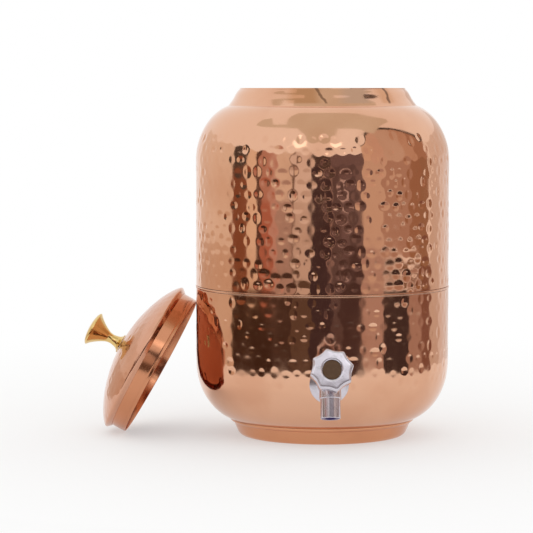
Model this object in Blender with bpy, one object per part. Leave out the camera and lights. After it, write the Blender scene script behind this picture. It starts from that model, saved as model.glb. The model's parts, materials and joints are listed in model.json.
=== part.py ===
"""Hammered copper water dispenser with a screw-down tap and a loose lid. Metres, +Z up.

The origin is the centre of the foot's flat underside. The tap faces -Y, and the lid
leans on the pot's -X side. The pot is two spun copper shells, lapped and brazed
together on a foot. The tap is clamped through the wall by a nut, between two gaskets.
"""

from math import copysign, cos, pi, radians, sin

import bmesh
import bpy
from mathutils import Vector

MM = 0.001
GAP = 0.3 * MM                     # clearance between pieces that touch
SHEET = 0.9 * MM                   # thickness of the copper sheet

# The pot
POT_HEIGHT = 297.6 * MM
POT_RADIUS = 108.6 * MM
SHOULDER_HEIGHT = 236.0 * MM       # where the straight wall ends and the shoulder starts
SHOULDER_RADII = (38.0 * MM, 48.5 * MM)
SHOULDER_POWER = 1.95
BOWL_HEIGHT = 66.0 * MM            # where the straight wall turns into the bowl
BOWL_RADII = (46.0 * MM, 54.5 * MM)
BOWL_POWER = 2.15
MOUTH_RADIUS = 66.0 * MM           # clear mouth inside the turned-in lip
LIP_RADIUS = 70.8 * MM
SEAM_HEIGHT = 128.0 * MM
LAP_DEPTH = 7.0 * MM               # how far the lower shell runs up inside the upper one
FOOT_RADIUS = 70.4 * MM            # flat underside
FOOT_COLLAR_RADIUS = 78.9 * MM
FOOT_HEIGHT = 13.9 * MM

# The lid, along its own axis from the plane of its rim
LID_RADIUS = 68.4 * MM
LID_DOME_HEIGHT = 22.5 * MM
LID_DOME_POWER = 0.8
SKIRT_RADIUS = 64.6 * MM
SKIRT_DEPTH = 17.0 * MM
LID_LEAN = radians(61.5)           # tilt of the lid's axis away from upright
LID_BEHIND = radians(6.0)          # how far behind -X the lid leans on the pot
KNOB_RADIUS = 14.9 * MM
KNOB_EDGE = 27.0 * MM              # height of the knob's edge above its base
KNOB_HEIGHT = 31.2 * MM

# The tap
SHANK_HEIGHT = 56.0 * MM
VALVE_HEIGHT = 62.0 * MM           # where the valve's axis starts, above the shank's
SHANK_RADIUS = 8.1 * MM
SHANK_INNER_END = 91.0 * MM        # distance from the pot's axis
TAP_CENTRE = POT_RADIUS + 9.0 * MM  # where the valve's axis starts, from the pot's axis
TAP_LEAN = radians(17.0)           # upward tilt of the valve's axis
FLANGE_RADIUS = 16.2 * MM
SEAT_HEIGHT = 0.8 * MM             # the valve seat, along the valve's axis
CHAMBER_RADIUS = 8.0 * MM
CHAMBER_MOUTH = 15.0 * MM
BELLY_DROP = 4.2 * MM              # how far the chamber's belly lies below the valve's axis
SPOUT_OFFSET = 6.2 * MM            # spout's axis, along the valve's axis
SPOUT_RADIUS = 8.25 * MM
SPOUT_LENGTH = 34.6 * MM
HANDLE_RADIUS = 18.0 * MM
HANDLE_LOBES = 8
HANDLE_TURN = radians(12.6)        # how far the closed handle's first lobe is turned
FLUTE_DEPTH = 0.13                 # of the handle's radius

POT_SEGMENTS = 40
LOBED_SEGMENTS = 48
TAP_SEGMENTS = 24
HEX_SEGMENTS = 18
SMALL_SEGMENTS = 16

# Colour, roughness and metallic value
COPPER = ((0.86, 0.50, 0.36), 0.18, 1.0)
SPELTER = ((0.88, 0.62, 0.42), 0.3, 1.0)
BRASS = ((0.80, 0.60, 0.28), 0.2, 1.0)
CHROME = ((0.78, 0.78, 0.80), 0.1, 1.0)
RUBBER = ((0.05, 0.05, 0.05), 0.7, 0.0)
BROWN_PLASTIC = ((0.12, 0.08, 0.05), 0.3, 0.0)
BLUE_PLASTIC = ((0.06, 0.06, 0.35), 0.35, 0.0)


# Outlines, as (radius, height) points

def mm_points(*points):
    """Turn (radius, height) pairs in millimetres into metres."""
    return [(radius * MM, height * MM) for radius, height in points]


def superellipse(centre, radii, power, start, end, steps):
    """Points from start to end, in degrees: 0 lies at +radius and 90 at +height."""
    points = []
    for step in range(steps + 1):
        angle = radians(start + (end - start) * step / steps)
        across = copysign(abs(cos(angle)) ** (2 / power), cos(angle))
        up = copysign(abs(sin(angle)) ** (2 / power), sin(angle))
        points.append((centre[0] + radii[0] * across, centre[1] + radii[1] * up))
    return points


def offset(points, distance):
    """Move an outline sideways: to its right for a positive distance."""
    directions = [(Vector(b) - Vector(a)).normalized() for a, b in zip(points, points[1:])]
    rights = [Vector((direction.y, -direction.x)) for direction in directions]
    moved = []
    for point, before, after in zip(points, rights[:1] + rights, rights + rights[-1:]):
        middle = (before + after).normalized()
        shifted = Vector(point) + middle * distance / middle.dot(after)
        on_axis = point[0] == 0.0
        moved.append((0.0 if on_axis else shifted.x, shifted.y))
    return moved


def sheet(outside):
    """Outline of sheet copper whose outer side runs down through the given points."""
    return outside + offset(outside, SHEET)[::-1]


def tube(inner, outer, low, high):
    """Outline of a plain ring."""
    return [(inner, low), (outer, low), (outer, high), (inner, high)]


def rod(radius, low, high):
    """Outline of a plain rod on the axis."""
    return [(0.0, low), (radius, low), (radius, high), (0.0, high)]


# Solids

def new_object(name, bm, finish):
    """Put a bmesh in the scene as one smooth-shaded object with its own material."""
    bmesh.ops.recalc_face_normals(bm, faces=bm.faces)
    mesh = bpy.data.meshes.new(name)
    bm.to_mesh(mesh)
    bm.free()
    mesh.shade_smooth()
    mesh.set_sharp_from_angle(angle=radians(30))
    obj = bpy.data.objects.new(name, mesh)
    bpy.context.collection.objects.link(obj)
    colour, roughness, metallic = finish
    material = bpy.data.materials.new(name)
    material.use_nodes = True
    shader = material.node_tree.nodes["Principled BSDF"]
    shader.inputs["Base Color"].default_value = (*colour, 1.0)
    shader.inputs["Roughness"].default_value = roughness
    shader.inputs["Metallic"].default_value = metallic
    mesh.materials.append(material)
    return obj


def lathe(name, outline, finish, segments=SMALL_SEGMENTS, parent=None, shape=None):
    """Turn an outline about the local Z axis. It closes on itself unless it ends on the axis.

    A shape is a function that moves the turned vertices, for instance into a hexagon.
    """
    bm = bmesh.new()
    verts = [bm.verts.new((radius, 0.0, height)) for radius, height in outline]
    pairs = list(zip(verts, verts[1:]))
    if outline[0][0] > 0.0:
        pairs.append((verts[-1], verts[0]))
    edges = [bm.edges.new(pair) for pair in pairs]
    bmesh.ops.spin(bm, geom=verts + edges, cent=(0, 0, 0), axis=(0, 0, 1),
                   angle=2 * pi, steps=segments, use_merge=True)
    bmesh.ops.remove_doubles(bm, verts=bm.verts, dist=0.001 * MM)
    if shape:
        for vert in bm.verts:
            vert.co = shape(vert.co)
    obj = new_object(name, bm, finish)
    obj.parent = parent
    return obj


def hexagon(beyond):
    """A shape that draws everything further out than a radius in to a hexagon's flats."""
    def shape(position):
        flat = position.copy()
        if position.xy.length > beyond:
            from_flat = Vector((1, 0)).angle_signed(position.xy) % radians(60) - radians(30)
            flat.xy *= cos(radians(30)) / cos(from_flat)
        return flat
    return shape


def lobes(beyond):
    """A shape that draws concave flutes into everything further out than a radius."""
    def shape(position):
        fluted = position.copy()
        if position.xy.length > beyond:
            angle = Vector((1, 0)).angle_signed(position.xy)
            fluted.xy *= 1 - FLUTE_DEPTH * abs(sin(HANDLE_LOBES * angle / 2))
        return fluted
    return shape


def combine(obj, tool, operation):
    """Join a tool to an object, cut it away, or keep only what lies in both."""
    tool.hide_render = True
    tool.display_type = "WIRE"
    boolean = obj.modifiers.new(tool.name, "BOOLEAN")
    boolean.object = tool
    boolean.operation = operation
    boolean.solver = "EXACT"


def empty(name, location, rotation):
    """A frame whose local Z is the axis that its pieces are turned about."""
    frame = bpy.data.objects.new(name, None)
    frame.location = location
    frame.rotation_euler = rotation
    bpy.context.collection.objects.link(frame)
    return frame


# The pot

def shoulder():
    """The wall's outer side from just below the neck down to the straight wall."""
    centre = (POT_RADIUS - SHOULDER_RADII[0], SHOULDER_HEIGHT)
    return superellipse(centre, SHOULDER_RADII, SHOULDER_POWER, 74, 0, 6)


def bowl():
    """The wall's outer side from the straight wall down to the flat bottom's edge."""
    centre = (POT_RADIUS - BOWL_RADII[0], BOWL_HEIGHT)
    return superellipse(centre, BOWL_RADII, BOWL_POWER, 0, -90, 9)


def make_upper_shell():
    """Neck, shoulder and upper wall, with the lip turned in as a ledge for the lid."""
    lip = [
        (MOUTH_RADIUS, POT_HEIGHT - 2.4 * MM),
        (MOUTH_RADIUS, POT_HEIGHT - 0.6 * MM),
        (MOUTH_RADIUS + 0.6 * MM, POT_HEIGHT),
        (LIP_RADIUS - 0.6 * MM, POT_HEIGHT),
        (LIP_RADIUS, POT_HEIGHT - 0.7 * MM),
    ]
    neck = mm_points((73.6, 293.6), (76.6, 288.2), (78.9, 284.9))
    bottom = [(POT_RADIUS, SEAM_HEIGHT + 1.2 * MM)]
    lathe("upper_shell", sheet(lip + neck + shoulder() + bottom), COPPER, POT_SEGMENTS)


def make_lower_shell():
    """Lower wall and bowl, stepped in at the top to slide up inside the upper shell."""
    lap_radius = POT_RADIUS - SHEET - GAP
    lap = [
        (lap_radius, SEAM_HEIGHT + LAP_DEPTH),
        (lap_radius, SEAM_HEIGHT),
        (POT_RADIUS, SEAM_HEIGHT - 1.6 * MM),
    ]
    bottom = [(0.0, BOWL_HEIGHT - BOWL_RADII[1])]
    shell = lathe("lower_shell", sheet(lap + bowl() + bottom), COPPER, POT_SEGMENTS)
    hole_radius = SHANK_RADIUS + 0.4 * MM
    hole = lathe("tap_hole", rod(hole_radius, 0.9 * POT_RADIUS, 1.1 * POT_RADIUS), COPPER,
                 parent=bpy.data.objects["shank_frame"])
    combine(shell, hole, "DIFFERENCE")


def make_brazed_seam():
    """The bead of brazing metal that fills the groove of the lap, standing a little proud."""
    bead = [
        (POT_RADIUS - 0.9 * MM, SEAM_HEIGHT + 0.3 * MM),
        (POT_RADIUS - 0.9 * MM, SEAM_HEIGHT + 0.9 * MM),
        (POT_RADIUS + 0.35 * MM, SEAM_HEIGHT + 0.9 * MM),
        (POT_RADIUS + 0.75 * MM, SEAM_HEIGHT + 0.1 * MM),
        (POT_RADIUS + 0.75 * MM, SEAM_HEIGHT - 0.7 * MM),
        (POT_RADIUS + 0.35 * MM, SEAM_HEIGHT - 1.35 * MM),
    ]
    lathe("brazed_seam", bead, SPELTER, POT_SEGMENTS)


def make_foot_pan():
    """A shallow spun pan under the bowl: flat underside, tapered side, collar at the top."""
    outside = [
        (FOOT_COLLAR_RADIUS - 0.3 * MM, FOOT_HEIGHT),
        (FOOT_COLLAR_RADIUS, FOOT_HEIGHT - 0.8 * MM),
        (FOOT_COLLAR_RADIUS - 0.6 * MM, FOOT_HEIGHT - 1.6 * MM),
        (FOOT_COLLAR_RADIUS - 2.5 * MM, FOOT_HEIGHT - 2.3 * MM),
        (FOOT_RADIUS + 1.7 * MM, 1.6 * MM),
        (FOOT_RADIUS, 0.0),
        (0.0, 0.0),
    ]
    lathe("foot_pan", sheet(outside), COPPER, POT_SEGMENTS)


# The lid, in a frame with its origin at the centre of the rim

def make_lid_dome(frame):
    """Spun dome whose edge is folded under into a cone that closes on the skirt."""
    hole_radius = 2.4 * MM
    steps = 9
    dome = []
    for step in range(steps + 1):
        across = sin(pi / 2 * step / steps)
        radius = max(LID_RADIUS * across, hole_radius)
        height = LID_DOME_HEIGHT * (1 - (radius / LID_RADIUS) ** 2) ** LID_DOME_POWER
        dome.append((radius, height))
    fold = [
        (LID_RADIUS, -0.8 * MM),
        (LID_RADIUS - 0.6 * MM, -1.6 * MM),
        (SKIRT_RADIUS + 1.1 * MM, -4.4 * MM),
    ]
    lathe("lid_dome", sheet(dome + fold), COPPER, POT_SEGMENTS, frame)


def make_lid_skirt(frame):
    """Plain ring under the dome that drops into the pot's mouth."""
    inner = SKIRT_RADIUS - SHEET
    ring = [
        (inner, 0.8 * MM),
        (SKIRT_RADIUS, 0.8 * MM),
        (SKIRT_RADIUS, 0.4 * MM - SKIRT_DEPTH),
        (SKIRT_RADIUS - 0.3 * MM, -SKIRT_DEPTH),
        (inner, -SKIRT_DEPTH),
    ]
    lathe("lid_skirt", ring, COPPER, POT_SEGMENTS, frame)


def make_lid_knob(frame):
    """Turned brass knob shaped like a trumpet, with a blind threaded hole in its base."""
    base = LID_DOME_HEIGHT + GAP
    hole = [(0.0, 12.0 * MM), (1.8 * MM, 12.0 * MM), (1.8 * MM, 0.0)]
    stem = mm_points((8.5, 0), (7.0, 1.5), (5.2, 3.6), (4.2, 7.6), (4.1, 10), (5, 13.6), (8, 19),
                     (11.8, 24))
    crown = superellipse((0.0, KNOB_EDGE), (KNOB_RADIUS, KNOB_HEIGHT - KNOB_EDGE), 2, 0, 90, 4)
    outline = [(radius, base + height) for radius, height in hole + stem + crown[:-1]]
    lathe("lid_knob", outline + [(0.0, base + KNOB_HEIGHT)], BRASS, TAP_SEGMENTS, frame)


def make_knob_fixing(frame):
    """Washer and round-headed screw that hold the knob from inside the dome."""
    under_dome = LID_DOME_HEIGHT - SHEET - GAP
    washer_low = under_dome - 1.0 * MM
    head_high = washer_low - GAP
    head_low = head_high - 2.0 * MM
    lathe("knob_washer", tube(2.4 * MM, 7.0 * MM, washer_low, under_dome), BRASS, parent=frame)
    screw = [
        (0.0, LID_DOME_HEIGHT + GAP + 10.0 * MM),
        (1.5 * MM, LID_DOME_HEIGHT + GAP + 10.0 * MM),
        (1.5 * MM, head_high),
        (3.9 * MM, head_high),
        (3.4 * MM, head_low + 0.7 * MM),
        (2.0 * MM, head_low),
        (0.0, head_low),
    ]
    lathe("knob_screw", screw, BRASS, parent=frame)


# The tap's clamp through the wall, in a frame whose local Z runs out along -Y from the pot's axis

FRONT_GASKET_FACE = POT_RADIUS + 2.2 * MM
FRONT_GASKET_RADIUS = 14.6 * MM
REAR_GASKET_FACE = POT_RADIUS - 4.8 * MM
REAR_GASKET_RADIUS = 12.0 * MM


def wall_form(name, clearance):
    """A solid of the pot's lower wall, made larger or smaller, that shapes the gaskets."""
    above_tap = BOWL_HEIGHT + 34.0 * MM
    wall = offset([(POT_RADIUS, above_tap)] + bowl()[:7], clearance)
    outline = [(0.0, wall[0][1])] + wall + [(0.0, wall[-1][1])]
    return lathe(name, outline, COPPER, POT_SEGMENTS)


def make_gaskets(frame):
    """Soft washers on both sides of the wall, each with one face shaped to it."""
    inner = SHANK_RADIUS + 0.4 * MM
    within_wall = POT_RADIUS - 8.0 * MM
    front_ring = tube(inner, FRONT_GASKET_RADIUS, within_wall, FRONT_GASKET_FACE)
    front = lathe("front_gasket", front_ring, RUBBER, parent=frame)
    combine(front, wall_form("wall_outside", -GAP), "DIFFERENCE")
    rear_ring = tube(inner, REAR_GASKET_RADIUS, REAR_GASKET_FACE, POT_RADIUS)
    rear = lathe("rear_gasket", rear_ring, RUBBER, parent=frame)
    combine(rear, wall_form("wall_inside", SHEET + GAP), "INTERSECT")


def make_clamp(frame):
    """Metal washer and hexagonal lock nut on the shank, inside the pot."""
    washer_high = REAR_GASKET_FACE - GAP
    washer_low = washer_high - 1.2 * MM
    nut_high = washer_low - GAP
    nut_low = nut_high - 7.0 * MM
    bore = SHANK_RADIUS + GAP
    corner = 13.9 * MM
    chamfer = 0.8 * MM
    lathe("clamp_washer", tube(bore, 12.5 * MM, washer_low, washer_high), BRASS, parent=frame)
    nut = [
        (bore, nut_low),
        (corner - 2 * chamfer, nut_low),
        (corner, nut_low + chamfer),
        (corner, nut_high),
        (bore, nut_high),
    ]
    lathe("lock_nut", nut, BRASS, HEX_SEGMENTS, frame, hexagon(corner - 2.1 * chamfer))


# The tap's valve, in a frame whose local Z runs out along the valve's tilted axis

def make_tap_body(wall_frame, valve_frame):
    """One casting: shank, wall flange, valve chamber and spout, bored right through."""
    chamber = mm_points((0, -5), (6, -4.8), (9.3, -3.2), (11.2, -0.5), (11.5, 5), (11.5, 14.4),
                        (10.9, 15), (0, 15))
    body = lathe("tap_body", chamber, CHROME, TAP_SEGMENTS, valve_frame)
    belly_outline = mm_points((0, -6.5), (6, -6), (9.3, -4), (10.8, -0.5), (10.8, 13.2), (10.2, 13.8),
                              (0, 13.8))
    belly = lathe("belly", belly_outline, CHROME, TAP_SEGMENTS, valve_frame)
    belly.location.y = -BELLY_DROP

    flange_face = FRONT_GASKET_FACE + GAP
    shank_outline = [
        (0.0, SHANK_INNER_END),
        (SHANK_RADIUS - 0.8 * MM, SHANK_INNER_END),
        (SHANK_RADIUS, SHANK_INNER_END + 0.8 * MM),
        (SHANK_RADIUS, flange_face),
        (FLANGE_RADIUS, flange_face),
        (FLANGE_RADIUS, flange_face + 1.0 * MM),
        (FLANGE_RADIUS - 1.2 * MM, flange_face + 2.0 * MM),
        (10.0 * MM, flange_face + 3.0 * MM),
        (9.0 * MM, TAP_CENTRE + 1.0 * MM),
        (0.0, TAP_CENTRE + 1.0 * MM),
    ]
    shank = lathe("shank_outside", shank_outline, CHROME, TAP_SEGMENTS, wall_frame)
    spout_outline = mm_points((0, 0), (8.4, 0), (8.9, 15), (8.9, 17.8), (8.25, 18.4))
    spout_outline += [
        (SPOUT_RADIUS, SPOUT_LENGTH - 0.5 * MM),
        (SPOUT_RADIUS - 0.5 * MM, SPOUT_LENGTH),
        (0.0, SPOUT_LENGTH),
    ]
    spout = lathe("spout_outside", spout_outline, CHROME, TAP_SEGMENTS, valve_frame)
    chamber_bore = [
        (0.0, -4.2 * MM),
        (4.0 * MM, -4.2 * MM),
        (4.0 * MM, SEAT_HEIGHT),
        (CHAMBER_RADIUS, SEAT_HEIGHT),
        (CHAMBER_RADIUS, CHAMBER_MOUTH + 1.0 * MM),
        (0.0, CHAMBER_MOUTH + 1.0 * MM),
    ]
    valve_bore = lathe("chamber_bore", chamber_bore, CHROME, parent=valve_frame)
    insert_step = SPOUT_LENGTH - 6.5 * MM
    outlet = [
        (0.0, 3.0 * MM),
        (4.9 * MM, 3.0 * MM),
        (4.9 * MM, insert_step),
        (6.6 * MM, insert_step),
        (6.6 * MM, SPOUT_LENGTH + 1.0 * MM),
        (0.0, SPOUT_LENGTH + 1.0 * MM),
    ]
    spout_bore = lathe("spout_bore", outlet, CHROME, parent=valve_frame)
    for piece in (spout, spout_bore):
        point_down_spout(piece)
    shank_bore = lathe("shank_bore", rod(4.5 * MM, SHANK_INNER_END - 1.0 * MM, TAP_CENTRE - 2.0 * MM),
                       CHROME, parent=wall_frame)
    for solid in (shank, belly, spout):
        combine(body, solid, "UNION")
    for bore in (valve_bore, spout_bore, shank_bore):
        combine(body, bore, "DIFFERENCE")


def point_down_spout(piece):
    """Turn a piece of the valve's frame so that its local Z runs down the spout."""
    piece.location = (0.0, 0.0, SPOUT_OFFSET)
    piece.rotation_euler = (radians(90), 0.0, 0.0)


def make_spout_insert(frame):
    """Plastic ring pressed into the spout's end."""
    high = SPOUT_LENGTH - 6.5 * MM + GAP
    low = SPOUT_LENGTH - 0.8 * MM
    point_down_spout(lathe("spout_insert", tube(4.4 * MM, 6.3 * MM, high, low), BLUE_PLASTIC,
                           parent=frame))


def make_bonnet(frame):
    """Bonnet screwed into the chamber, bored for the spindle's thread, stem and packing."""
    outline = mm_points((4.8, 10.2), (7.7, 10.2), (7.7, 16.6), (10.9, 16.6), (10.9, 17.2),
                        (11.5, 17.2), (11.5, 21), (10.9, 21.6), (6.8, 21.6), (6.8, 26.8),
                        (5.3, 26.8), (5.3, 23.2), (3.3, 23.2), (3.3, 15.6), (4.8, 15.6))
    lathe("bonnet", outline, CHROME, HEX_SEGMENTS, frame, hexagon(11.2 * MM))
    lathe("bonnet_gasket", tube(8.1 * MM, 10.9 * MM, 15.3 * MM, 16.3 * MM), RUBBER, parent=frame)


def make_gland(frame):
    """Packing ring round the stem, and the gland nut that squeezes it."""
    lathe("gland_packing", tube(3.3 * MM, 5.0 * MM, 23.5 * MM, 25.2 * MM), RUBBER, parent=frame)
    nut = mm_points((3.3, 25.5), (5.0, 25.5), (5.0, 27.1), (6.9, 27.1), (6.9, 29.4), (6.4, 29.9),
                    (3.3, 29.9))
    lathe("gland_nut", nut, CHROME, HEX_SEGMENTS, frame, hexagon(6.0 * MM))


def make_valve(frame):
    """Jumper and its washer, which close on the seat."""
    lathe("jumper_washer", rod(6.3 * MM, SEAT_HEIGHT + GAP, 3.5 * MM), RUBBER, parent=frame)
    jumper = mm_points((0, 3.8), (6.5, 3.8), (6.5, 5.1), (1.7, 5.1), (1.7, 9.2), (0, 9.2))
    lathe("valve_jumper", jumper, BRASS, parent=frame)


def make_spindle(frame):
    """Screwed spindle: a socket for the jumper's pin below, a tapped hole above."""
    outline = mm_points((0, 10), (2, 10), (2, 5.5), (4.5, 5.5), (4.5, 11), (3, 11), (3, 34.2),
                        (1.8, 34.2), (1.8, 28), (0, 28))
    lathe("spindle", outline, BRASS, parent=frame)


def make_handle(frame):
    """Lobed handle with a hollow underside, and a recess in its face for the cap."""
    hub = 9.9 * MM
    rim = mm_points((9.5, 27.8), (16.4, 27.8), (17.9, 29.6), (17.8, 36.8), (16.2, 38.5))
    face = mm_points((9.2, 39.5), (8.1, 38.8), (8.1, 37), (6.8, 37), (6.8, 34.6), (3.3, 34.6),
                     (3.3, 31.2), (9.5, 31.2))
    scale = HANDLE_RADIUS / (18.0 * MM)
    outline = [(radius * scale, height) for radius, height in rim] + face
    handle = lathe("handle", outline, CHROME, LOBED_SEGMENTS, frame, lobes(hub))
    handle.rotation_euler.z = HANDLE_TURN
    cap = mm_points((0, 37.3), (7.4, 37.3), (7.8, 37.6), (7.8, 38.2), (7.2, 38.6), (0, 38.7))
    lathe("handle_cap", cap, BROWN_PLASTIC, TAP_SEGMENTS, frame)
    screw = mm_points((0, 29), (1.5, 29), (1.5, 34.9), (4.6, 34.9), (4.4, 36), (2.8, 36.9), (0, 37))
    lathe("handle_screw", screw, BRASS, parent=frame)


def main():
    for obj in list(bpy.data.objects):
        bpy.data.objects.remove(obj)

    quarter = radians(90)
    wall_frame = empty("shank_frame", (0.0, 0.0, SHANK_HEIGHT), (quarter, 0.0, 0.0))
    tap_place = (0.0, -TAP_CENTRE, VALVE_HEIGHT)
    valve_frame = empty("valve_frame", tap_place, (quarter - TAP_LEAN, 0.0, 0.0))
    reach = POT_RADIUS + GAP + SKIRT_DEPTH * sin(LID_LEAN) + SKIRT_RADIUS * cos(LID_LEAN)
    rim_height = SKIRT_DEPTH * cos(LID_LEAN) + SKIRT_RADIUS * sin(LID_LEAN)
    rim_centre = (-reach * cos(LID_BEHIND), reach * sin(LID_BEHIND), rim_height)
    lid_frame = empty("lid_frame", rim_centre, (0.0, -LID_LEAN, -LID_BEHIND))

    make_upper_shell()
    make_lower_shell()
    make_brazed_seam()
    make_foot_pan()

    make_lid_dome(lid_frame)
    make_lid_skirt(lid_frame)
    make_lid_knob(lid_frame)
    make_knob_fixing(lid_frame)

    make_gaskets(wall_frame)
    make_clamp(wall_frame)
    make_tap_body(wall_frame, valve_frame)
    make_spout_insert(valve_frame)
    make_bonnet(valve_frame)
    make_gland(valve_frame)
    make_valve(valve_frame)
    make_spindle(valve_frame)
    make_handle(valve_frame)


main()
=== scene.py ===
import json
from math import asin, atan2, copysign, cos, pi, radians, sin

import bmesh
import bpy
import numpy as np
from mathutils import Matrix, Vector


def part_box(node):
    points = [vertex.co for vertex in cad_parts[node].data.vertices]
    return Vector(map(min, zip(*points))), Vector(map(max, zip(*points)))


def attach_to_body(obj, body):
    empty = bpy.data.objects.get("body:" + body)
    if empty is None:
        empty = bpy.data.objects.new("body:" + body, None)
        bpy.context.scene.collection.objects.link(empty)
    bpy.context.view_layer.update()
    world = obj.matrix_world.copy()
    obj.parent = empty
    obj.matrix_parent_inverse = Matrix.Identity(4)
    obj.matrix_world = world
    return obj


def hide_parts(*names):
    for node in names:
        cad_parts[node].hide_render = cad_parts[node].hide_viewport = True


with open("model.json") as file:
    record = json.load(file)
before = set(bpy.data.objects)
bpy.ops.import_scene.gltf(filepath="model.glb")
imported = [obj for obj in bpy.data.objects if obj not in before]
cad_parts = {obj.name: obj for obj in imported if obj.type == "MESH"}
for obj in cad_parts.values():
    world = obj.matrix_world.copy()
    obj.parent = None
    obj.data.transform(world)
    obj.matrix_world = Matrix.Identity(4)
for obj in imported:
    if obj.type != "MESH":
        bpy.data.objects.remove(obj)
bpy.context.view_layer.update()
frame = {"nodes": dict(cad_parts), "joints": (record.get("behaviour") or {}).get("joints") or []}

MM = 0.001
JOINTS = {joint["name"]: joint for joint in frame["joints"]}

# Sizes shared with the CAD model, read from it where a node's box gives them
POT_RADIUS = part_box("upper_shell")[1][0]
POT_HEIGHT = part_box("upper_shell")[1][2]
SEAM_LOW, SEAM_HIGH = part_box("brazed_seam")[0][2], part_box("brazed_seam")[1][2]
SEAM_HEIGHT = SEAM_HIGH - 0.9 * MM
SHEET = 0.9 * MM
SHOULDER_HEIGHT = 236.0 * MM
SHOULDER_RADII = (38.0 * MM, 48.5 * MM)
SHOULDER_POWER = 1.95
BOWL_HEIGHT = 66.0 * MM
BOWL_RADII = (46.0 * MM, 54.5 * MM)
BOWL_POWER = 2.15
MOUTH_RADIUS = 66.0 * MM
LIP_RADIUS = 70.8 * MM
LAP_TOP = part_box("lower_shell")[1][2]
FOOT_RADIUS = 70.4 * MM
FOOT_COLLAR_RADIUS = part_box("foot_pan")[1][0]
FOOT_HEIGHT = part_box("foot_pan")[1][2]
LID_RADIUS = 68.4 * MM
LID_DOME_HEIGHT = 22.5 * MM
LID_DOME_POWER = 0.8
SKIRT_RADIUS = 64.6 * MM
SKIRT_LOW, SKIRT_HIGH = -17.0 * MM, 0.8 * MM
KNOB_BASE = LID_DOME_HEIGHT + 0.3 * MM
KNOB_RADIUS = 14.9 * MM
KNOB_EDGE = 27.0 * MM
KNOB_HEIGHT = 31.2 * MM

# Hammering: round marks in staggered rows
MARKS_AROUND = 66
MARK_ROW_PITCH = 9.4 * MM
MARK_RADIUS = 4.1 * MM
MARK_DEPTH = 0.27 * MM
LOWER_MARK_DEPTH = 0.18 * MM
HAMMER_TOP = 256.0 * MM
HAMMER_BOTTOM = 54.0 * MM
SMOOTH_ABOVE_SEAM = 7.0 * MM
GRID = 1.15 * MM
POT_COLUMNS = 592
RIPPLE_DEPTH = 0.1 * MM
RIPPLE_WAVES = 9
RIPPLE_BOTTOM, RIPPLE_TOP = 48.0 * MM, 272.0 * MM
RIPPLE_FADE = 15.0 * MM
RIPPLE_SEAM_GAP, RIPPLE_SEAM_FADE = 4.0 * MM, 8.0 * MM
DOME_STEPS = 80
DOME_MARKS_FIRST, DOME_MARKS_LAST = 12, 68          # points of the dome's outline
LID_MARK_SPACING = 8.5 * MM
LID_MARK_ROW_PITCH = 8.0 * MM
LID_MARK_RADIUS = 4.0 * MM
LID_MARK_DEPTH = 0.1 * MM

# How many columns of faces a turned piece has, and the angle from which an edge stays sharp
LID_COLUMNS = 360
SEAM_COLUMNS = 360
RING_COLUMNS = 240
SMALL_COLUMNS = 128
TAP_COLUMNS = 96
BORE_COLUMNS = 64
HANDLE_COLUMNS = 384
SHARP_ANGLE = 35.0
KNOB_SHARP_ANGLE = 28.0

# Painted reflection on the neck, streaks of the room mirrored there: each streak's middle, half width,
# slant, colour and strength
NECK_REFLECTION_HEIGHT = 284.0 * MM
NECK_REFLECTION_WOBBLE = 2.0 * MM
REFLECTION_BROWN = (0.58, 0.27, 0.13)
REFLECTION_DARK = (0.19, 0.09, 0.05)
REFLECTION_GREY = (0.62, 0.39, 0.30)
NECK_PAINTED_REFLECTIONS = (
    (-19.0 * MM, 14.0 * MM, 0.0, REFLECTION_BROWN, 0.8),
    (-9.0 * MM, 1.6 * MM, 0.6, REFLECTION_DARK, 0.75),
    (24.0 * MM, 14.0 * MM, 0.0, REFLECTION_GREY, 0.7),
    (45.0 * MM, 7.0 * MM, 0.5, REFLECTION_BROWN, 0.6),
    (47.0 * MM, 1.5 * MM, 0.5, REFLECTION_DARK, 0.9),
)

# The tap
SHANK_RADIUS = 8.1 * MM
SHANK_BORE = 4.5 * MM
WALL_HOLE = SHANK_RADIUS + 0.4 * MM
THREAD_PITCH = 1.0 * MM
THREAD_DEPTH = 0.45 * MM
SHANK_INNER_END = -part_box("tap_body")[1][1]
GASKET_FACE = POT_RADIUS + 2.2 * MM
REAR_GASKET_FACE = POT_RADIUS - 4.8 * MM
GASKET_RADIUS = 14.6 * MM
FLANGE_RADIUS = 16.2 * MM
SEAT_HEIGHT = 0.8 * MM
CHAMBER_RADIUS = 8.0 * MM
CHAMBER_OUTER = 11.5 * MM
CHAMBER_MOUTH = 15.0 * MM
BELLY_RADIUS = 10.8 * MM
BELLY_TOP = 13.8 * MM
BELLY_DROP = 4.2 * MM
SPOUT_OFFSET = 6.2 * MM
SPOUT_RADIUS = 8.25 * MM
SPOUT_LENGTH = 34.6 * MM
SPOUT_OPENING = 7.3 * MM
SPOUT_BORE = 4.9 * MM
INSERT_RADIUS = 7.1 * MM
INSERT_BORE = 4.4 * MM
HANDLE_LOBES = 8
HANDLE_TURN = radians(12.6)
HUB_RADIUS = 9.9 * MM
FLUTE_DEPTH = 0.13
TIP_SOFTNESS = 0.15


def frame_at(origin, z_axis, x_axis=(1.0, 0.0, 0.0)):
    """A placing matrix with its Z along one direction and its X near another."""
    z = Vector(z_axis).normalized()
    y = z.cross(Vector(x_axis)).normalized()
    x = y.cross(z)
    matrix = Matrix((x, y, z)).transposed().to_4x4()
    matrix.translation = origin
    return matrix


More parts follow.
